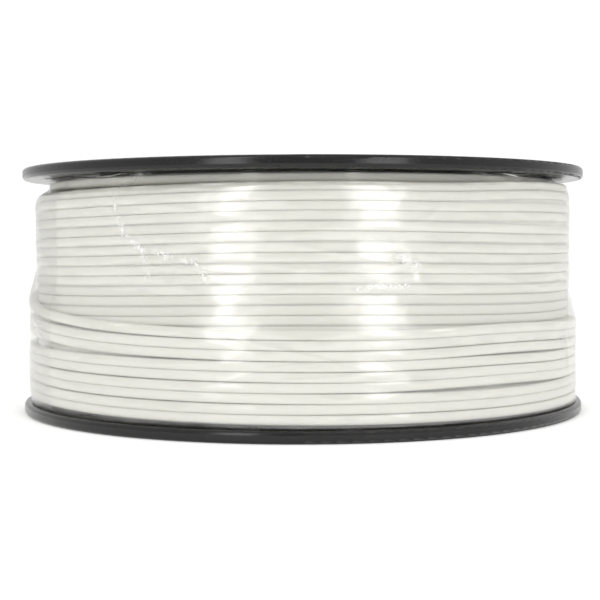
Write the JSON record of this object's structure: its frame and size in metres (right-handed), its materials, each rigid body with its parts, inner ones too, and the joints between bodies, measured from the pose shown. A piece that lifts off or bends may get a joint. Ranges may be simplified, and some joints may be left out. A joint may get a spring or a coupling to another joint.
{
  "type": "filament spool",
  "caption": "Wide black plastic spool wound with off-white 3 mm printing filament, wrapped in clear stretch film, with an arbor bore.",
  "frame": {"origin": "centre of the lower flange's outer face, on the spool's axis", "axes": "+Z along the arbor bore from the lower flange to the upper one; -Y is the side seen from the front"},
  "size_m": [0.2, 0.2, 0.0855],
  "materials": {
    "flange_plastic": "moulded high-impact polystyrene, polished",
    "filament": "extruded natural ABS strand",
    "film": "clear polyethylene stretch film",
    "label_paper": "coated paper, blank"
  },
  "bodies": {
    "root": {"lower_flange": "flange_plastic", "upper_flange": "flange_plastic", "winding_drum": "flange_plastic", "arbor_sleeve": "flange_plastic", "filament_packed_layers": "filament", "filament_last_full_layer": "filament", "filament_part_layer": "filament", "filament_free_end": "filament", "filament_anchor": "filament", "stretch_film": "film", "flange_label": "label_paper"}
  },
  "joints": []
}
